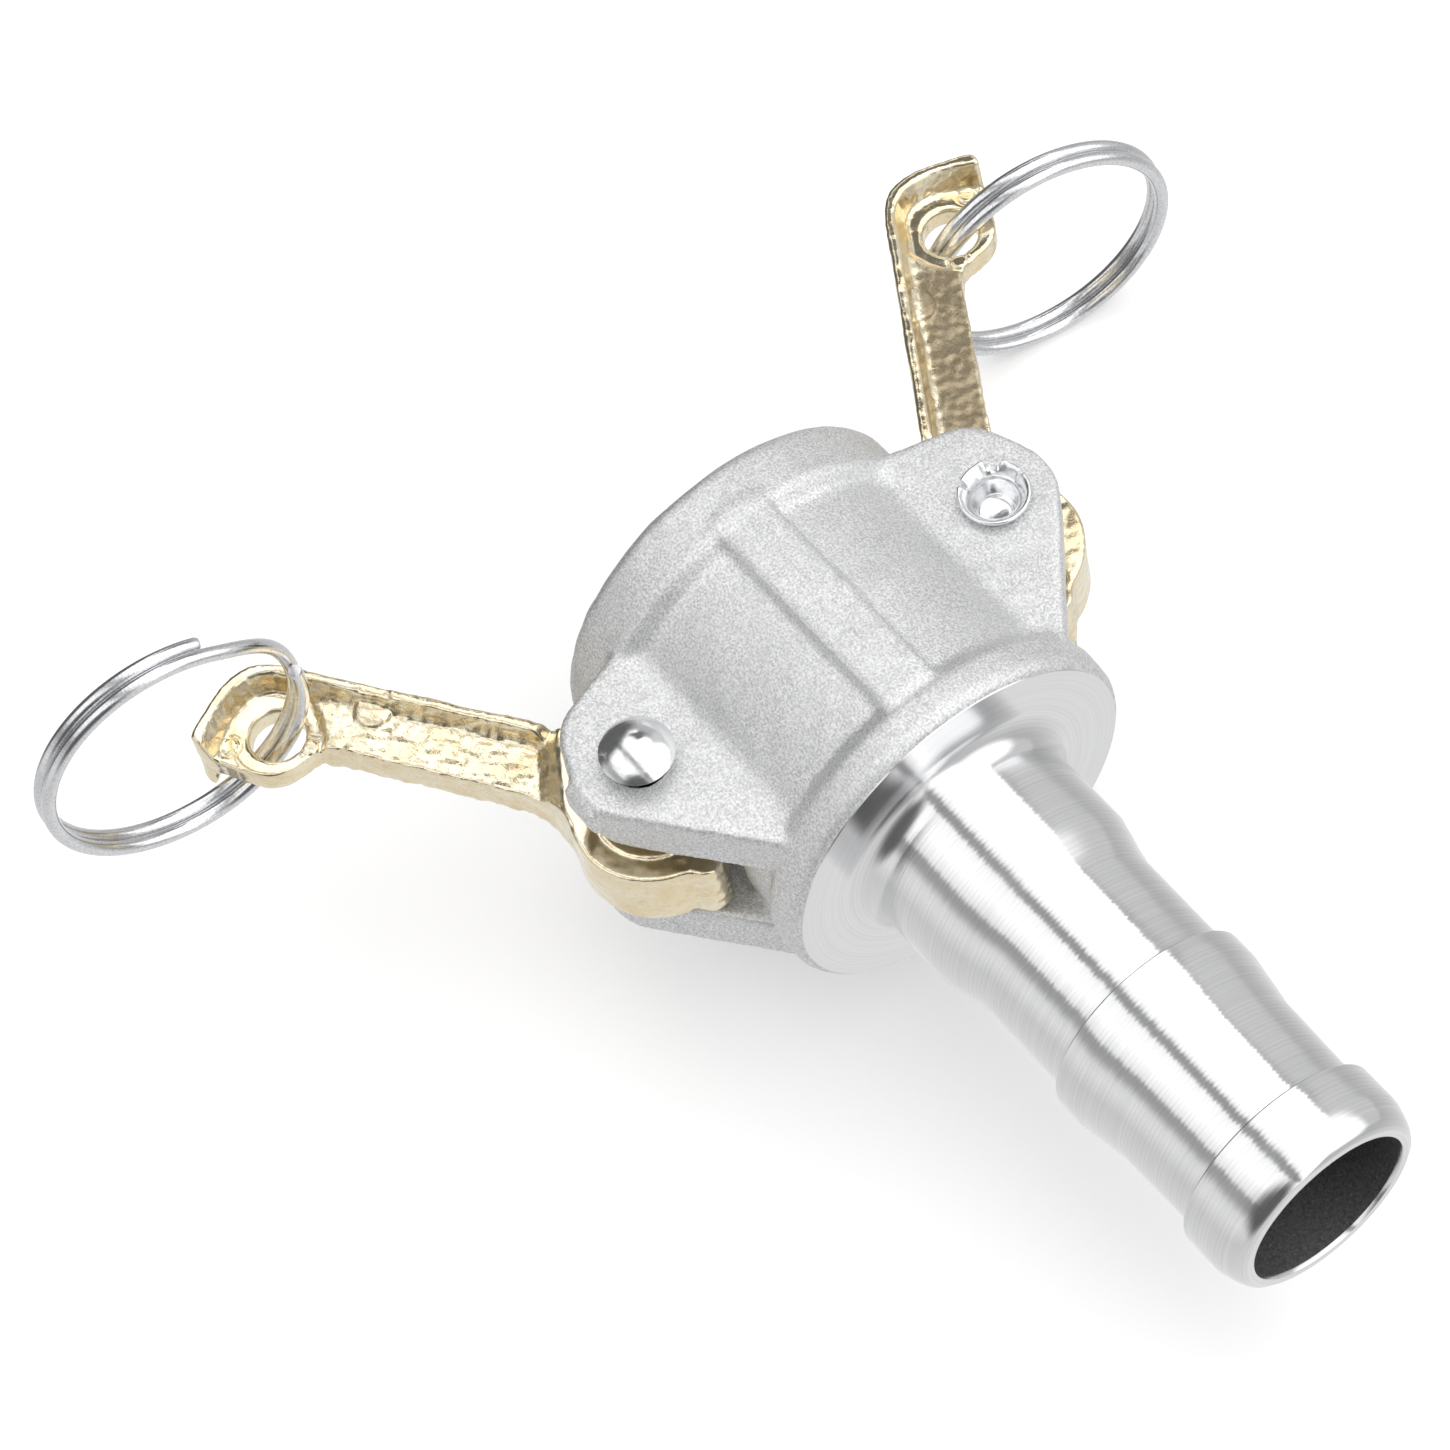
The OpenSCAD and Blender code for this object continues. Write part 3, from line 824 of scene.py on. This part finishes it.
    # holes
    solid = smooth_max(solid, (RIVET_R + 0.1 - to_hinge)[:, :, None], 0.3)
    return smooth_max(solid, (HOLE_R - to_hole)[:, :, None], 0.7), rough


def sampled(field, points, low, step):
    """Values of a grid field at the grid points nearest to the points."""
    index = np.rint((points - np.array(low)) / step).astype(int)
    index = np.clip(index, 0, np.array(field.shape) - 1)
    return field[tuple(index.T)]


def within(value, low, high, fade):
    """1 between low and high, falling to 0 over the fade inside each end."""
    return smooth_step((value - low) / fade) * smooth_step((high - value) / fade)


def make_arms():
    """Both arms: the same casting, turned over for the left one."""
    u, v, w = grid_axes(ARM_LOW, ARM_HIGH, ARM_STEP)
    field, skin = arm_field(u + 0.0 * v, v + 0.0 * u, w)
    points, faces = surface_net(field, ARM_LOW, ARM_STEP)
    rough = sampled(skin, points, ARM_LOW, ARM_STEP)
    # painted dark reflection: the web that faces up on the right arm is darkened,
    # and this painted darkening stays with it at every pose. Whether the real one is stained or only
    # mirrors something dark is not known, and this darkening stays with it at every pose
    painted_dark = within(points[:, 0], 6.0, 43.0, 2.0) * within(points[:, 1], -0.9, 4.7, 0.5)
    painted_dark = REFLECTION_PAINT * painted_dark * within(points[:, 2], 1.2, 4.4, 0.5)
    own_turn = math.atan2(HOLE_V, HOLE_U)
    for side, pin, hole, flip in (("left", LEFT_PIN, LEFT_HOLE, -1.0), ("right", RIGHT_PIN, RIGHT_HOLE, 1.0)):
        reach = hole - pin
        turn = math.atan2(reach[1], reach[0]) - flip * own_turn
        flat = points * np.array([1.0, flip, 1.0])
        placed = np.stack([
            pin[0] + flat[:, 0] * math.cos(turn) - flat[:, 1] * math.sin(turn),
            pin[1] + flat[:, 0] * math.sin(turn) + flat[:, 1] * math.cos(turn),
            pin[2] + flat[:, 2],
        ], 1)
        arm = make_object(side + "_lever", placed, faces if flip > 0 else faces[:, ::-1])
        # skin roughness, and the painted dark reflection on the right arm only
        for name, values in (("peel", rough), ("painted_reflection", painted_dark * (side == "right"))):
            attribute = arm.data.attributes.new(name, "FLOAT", "POINT")
            attribute.data.foreach_set("value", values.astype(np.float32))
        dress(arm, side + "_arm", side + "_cam_arm", [BRASS])


make_arms()

# ---------------------------------------------------------------- rivets
HEAD_R = 4.5
HEAD_H = 2.4
HEAD_GAP = RIVET_TOP - EAR_OUT - HEAD_H
TAIL_R = 4.4
RIVET_STEPS = 240
# world angle and half width of each split, degrees
SPLITS = ((144.0, 13.0), (212.0, 4.5), (90.0, 3.5))


def rivet_profile():
    """Half section (height, radius), domed head at the high end, hollow flared tail at the low end."""
    under = EAR_OUT + HEAD_GAP
    dome_h = HEAD_H - 0.3
    dome_r = (HEAD_R ** 2 + dome_h ** 2) / (2.0 * dome_h)
    foot = math.degrees(math.asin((dome_r - dome_h) / dome_r))
    dome = arc((under + HEAD_H - dome_r, 0.0), dome_r, 90.0 - foot, 0.6, 30)
    shank = [
        (under + 0.14, HEAD_R - 0.06), (under + 0.03, HEAD_R - 0.22), (under, HEAD_R - 0.5),
        (under, RIVET_R + 0.25), (under - 0.25, RIVET_R), (-EAR_OUT + 0.1, RIVET_R),
    ]
    flare = [
        (-EAR_OUT + 0.04, 3.3), (-EAR_OUT - 0.2, 3.62), (-EAR_OUT - 0.55, 4.02), (-EAR_OUT - 0.9, 4.3),
        (-EAR_OUT - 1.2, TAIL_R), (-EAR_OUT - 1.36, 4.36), (-EAR_OUT - 1.46, 4.24), (-EAR_OUT - 1.48, 4.1),
        (-EAR_OUT - 1.4, 3.96), (-EAR_OUT - 1.1, 3.66), (-EAR_OUT - 0.7, 3.3), (-EAR_OUT - 0.35, 3.02),
        (-EAR_OUT - 0.05, 2.84), (-EAR_OUT + 0.3, 2.72), (-EAR_OUT + 1.4, 2.56), (-EAR_OUT + 2.6, 2.42),
        (-EAR_OUT + 3.0, 2.28), (-EAR_OUT + 3.25, 1.95), (-EAR_OUT + 3.35, 1.4), (-EAR_OUT + 3.4, 0.03),
    ]
    return flare[::-1] + shank[::-1] + dome


def make_rivet(side, pin, up):
    """Semi-tubular rivet along Z. up is 1 with the domed head on top, -1 with the flared tail on top."""
    points, faces = lathe(rivet_profile(), RIVET_STEPS)
    height = points[:, 0].copy()
    off_axis = np.hypot(points[:, 1], points[:, 2])
    angle = np.degrees(np.arctan2(points[:, 2] * up, points[:, 1]))
    # splits in the flared rim: each opens to a V, folded down to the crease
    rim = smooth_step((-EAR_OUT - 0.1 - height) / 1.1) * smooth_step((off_axis - 2.8) / 1.0)
    on_flare = (off_axis > 3.05) * (height < -EAR_OUT - 0.02)
    grow = np.ones(len(points))
    for split, half in SPLITS:
        away = np.abs((angle - split + 180.0) % 360.0 - 180.0)
        gap = 0.94 * np.clip((half * rim - away) / 2.2 + 0.5, 0.0, 1.0) * on_flare
        height += gap * (-EAR_OUT - 0.14 - height)
        grow += gap * (3.2 / np.maximum(off_axis, 1.0) - grow)
        curl = np.exp(-(((away - half - 7.0) / 5.0) ** 2)) * rim * (half > 8.0)
        height -= curl * 0.12
        grow += curl * 0.02
    grow = grow * (1.0 + 0.008 * np.cos(np.radians(2.0 * angle + 40.0)) * (off_axis > 3.5))
    placed = np.stack([
        pin[0] + points[:, 1] * grow,
        pin[1] + points[:, 2] * grow * up,
        height * up,
    ], 1)
    rivet = make_object(side + "_hinge_rivet", placed, faces, sharp=50.0)
    dress(rivet, "body", side + "_rivet", [STEEL])


make_rivet("left", LEFT_PIN, 1.0)
make_rivet("right", RIGHT_PIN, -1.0)

# ---------------------------------------------------------------- pull rings
RING_R = 16.5
WIRE_R = 0.9
TURN_GAP = 1.86
CROSS_HALF = 24.0
FIRST_ANGLE = 28.0
LAST_ANGLE = 692.0
RING_TILT = 44.0
RING_STEPS = 560
WIRE_SIDES = 28
WIRE_END = 0.88


def make_ring(side, hole, tilt, phase):
    """Split ring of two turns through the hole of its arm, standing in the plane of its hinge."""
    axis = np.array(joints[side + "_ring_swing"]["axis"], float)
    spin = 1.0 if side == "left" else -1.0
    outward = np.array([axis[1] * spin, -axis[0] * spin, 0.0])
    upward = np.array([0.0, 0.0, 1.0])
    slant = math.radians(tilt)
    along = outward * math.cos(slant) + upward * math.sin(slant)
    across = upward * math.cos(slant) - outward * math.sin(slant)
    normal = np.cross(along, across)
    centre = hole + along * RING_R
    angle = np.linspace(FIRST_ANGLE, LAST_ANGLE, RING_STEPS + 1)
    shift = TURN_GAP * (smooth_step((angle - 360.0 + CROSS_HALF) / (2.0 * CROSS_HALF)) - 0.5)
    turn = np.radians(angle + phase)
    # square-cut wire ends with a slightly rounded edge
    inset = np.ones(RING_STEPS + 1)
    inset[0] = inset[-1] = WIRE_END
    radial = np.cos(turn)[:, None] * along + np.sin(turn)[:, None] * across
    middle = centre + RING_R * radial + shift[:, None] * normal
    around = np.arange(WIRE_SIDES) * 2.0 * math.pi / WIRE_SIDES
    offset = np.cos(around)[None, :, None] * radial[:, None, :] + np.sin(around)[None, :, None] * normal
    points = (middle[:, None, :] + WIRE_R * inset[:, None, None] * offset).reshape(-1, 3)
    faces = [tuple(range(WIRE_SIDES)), tuple(range(len(points) - 1, len(points) - WIRE_SIDES - 1, -1))]
    for i in range(RING_STEPS):
        row = i * WIRE_SIDES
        ahead = row + WIRE_SIDES
        for j in range(WIRE_SIDES):
            k = (j + 1) % WIRE_SIDES
            faces.append((row + j, ahead + j, ahead + k, row + k))
    ring = make_object(side + "_split_ring", points, faces, sharp=40.0)
    dress(ring, side + "_ring", side + "_pull_ring", [WIRE])


make_ring("left", LEFT_HOLE, RING_TILT, 100.0)
make_ring("right", RIGHT_HOLE, -RING_TILT, 230.0)


# ---------------------------------------------------------------- floor and light
FLOOR_HALF = 3.0
FLOOR_GLOW = 0.23


def make_sheet(name, corners, look, glow):
    """Flat sheet of one face, which also gives off a little light. Corners in metres."""
    mesh = bpy.data.meshes.new(name)
    mesh.from_pydata(corners, [], [(0, 1, 2, 3)])
    sheet = bpy.data.objects.new(name, mesh)
    bpy.context.scene.collection.objects.link(sheet)
    look.set("Emission Color", (1.0, 1.0, 1.0, 1.0))
    look.set("Emission Strength", glow)
    mesh.materials.append(look.material)
    return sheet


def make_floor():
    """White paper under the part. The sides of the part are lit by the tent's own lower half instead."""
    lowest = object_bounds()[0][2]
    look = Look("floor_paper", (0.93, 0.93, 0.93), 0.9, 0.0)
    paper = look.noise(0.8, 3.0, 0.6)
    look.set("Base Color", look.blend(paper, (0.92, 0.92, 0.92), (0.94, 0.94, 0.94)))
    signs = ((-1.0, -1.0), (1.0, -1.0), (1.0, 1.0), (-1.0, 1.0))
    corners = [(FLOOR_HALF * sx, FLOOR_HALF * sy, lowest) for sx, sy in signs]
    floor = make_sheet("floor", corners, look, FLOOR_GLOW)
    floor.visible_diffuse = False
    floor.visible_glossy = False


# light tent: the turn of a direction about X (degrees, from straight down through -Y, up and +Y), brightness
TENT = [
    (-180.0, 0.84), (-115.0, 0.70), (-94.0, 0.88), (-84.0, 0.84), (-77.0, 0.54), (-74.0, 0.42), (-65.0, 0.38),
    (-61.0, 1.0), (-44.0, 1.35), (-25.0, 1.2), (-22.0, 0.38), (-15.0, 0.36), (-12.0, 1.1), (2.0, 1.7),
    (42.0, 1.7), (45.0, 0.50), (78.0, 0.50), (100.0, 0.54), (115.0, 0.62), (150.0, 0.86), (180.0, 0.84),
]
# cards in the tent: azimuth and elevation, half width, width of the soft edge (degrees), brightness
CARDS = [
    (86.0, 20.0, 28.5, 4.0, 0.68),
    (50.0, 38.0, 31.0, 14.0, 1.5),
    (190.0, 5.0, 38.0, 22.0, 0.13),
    (316.0, 16.0, 29.0, 20.0, 0.13),
]
# brightness of what the camera sees past the floor
BACKDROP = 1.0


def make_light():
    """The tent and its cards, as a world shader."""
    world = bpy.data.worlds.new("studio")
    bpy.context.scene.world = world
    world.use_nodes = True
    world.node_tree.nodes.clear()
    nodes = Nodes(world.node_tree)
    way = nodes.add("ShaderNodeTexCoord").node.outputs["Generated"]
    axes = nodes.add("ShaderNodeSeparateXYZ", {"Vector": way}).node.outputs
    turn = nodes.math("ARCTAN2", axes["Y"], axes["Z"])
    ramp = nodes.add("ShaderNodeValToRGB", {0: nodes.span(turn, -math.pi, math.pi, 0.0, 1.0)})
    stops = ramp.node.color_ramp.elements
    while len(stops) < len(TENT):
        stops.new(0.5)
    for stop, (angle, value) in zip(stops, TENT):
        stop.position = (angle + 180.0) / 360.0
        stop.color = (value, value, value, 1.0)
    tone = ramp
    for azimuth, elevation, half, soft, value in CARDS:
        flat = math.cos(math.radians(elevation))
        middle = (
            flat * math.cos(math.radians(azimuth)),
            flat * math.sin(math.radians(azimuth)),
            math.sin(math.radians(elevation)),
        )
        facing = nodes.vector("DOT_PRODUCT", way, middle, output=1)
        edge_out = math.cos(math.radians(half + soft / 2.0))
        edge_in = math.cos(math.radians(half - soft / 2.0))
        share = nodes.span(facing, edge_out, edge_in, 0.0, 1.0, kind="SMOOTHSTEP")
        tone = nodes.blend(share, tone, (value, value, value))
    tent = nodes.add("ShaderNodeBackground", {"Color": tone})
    plain = nodes.add("ShaderNodeBackground", {"Color": (BACKDROP, BACKDROP, BACKDROP, 1.0)})
    seen = nodes.add("ShaderNodeLightPath").node.outputs["Is Camera Ray"]
    mixed = nodes.add("ShaderNodeMixShader", {0: seen, 1: tent, 2: plain})
    out = world.node_tree.nodes.new("ShaderNodeOutputWorld")
    world.node_tree.links.new(mixed, out.inputs[0])
    bpy.context.scene.view_settings.view_transform = "Standard"


# grey flag hung over the right arm: corners (x, y) and height
FLAG = ((-300.0, 60.0), (-112.0, 260.0), 263.0)
FLAG_GLOW = 0.1


def make_flag():
    """Dark cloth that only reflections see."""
    (x0, y0), (x1, y1), height = FLAG
    look = Look("flag_cloth", (0.05, 0.05, 0.05), 1.0, 0.0)
    weave = look.noise(0.5, 2.0, 0.5)
    look.set("Base Color", look.blend(weave, (0.04, 0.04, 0.04), (0.06, 0.06, 0.06)))
    corners = np.array([(x0, y0, height), (x0, y1, height), (x1, y1, height), (x1, y0, height)]) * MM
    flag = make_sheet("flag", corners.tolist(), look, FLAG_GLOW)
    flag.visible_camera = False
    flag.visible_diffuse = False
    flag.visible_shadow = False


make_floor()
make_flag()
make_light()
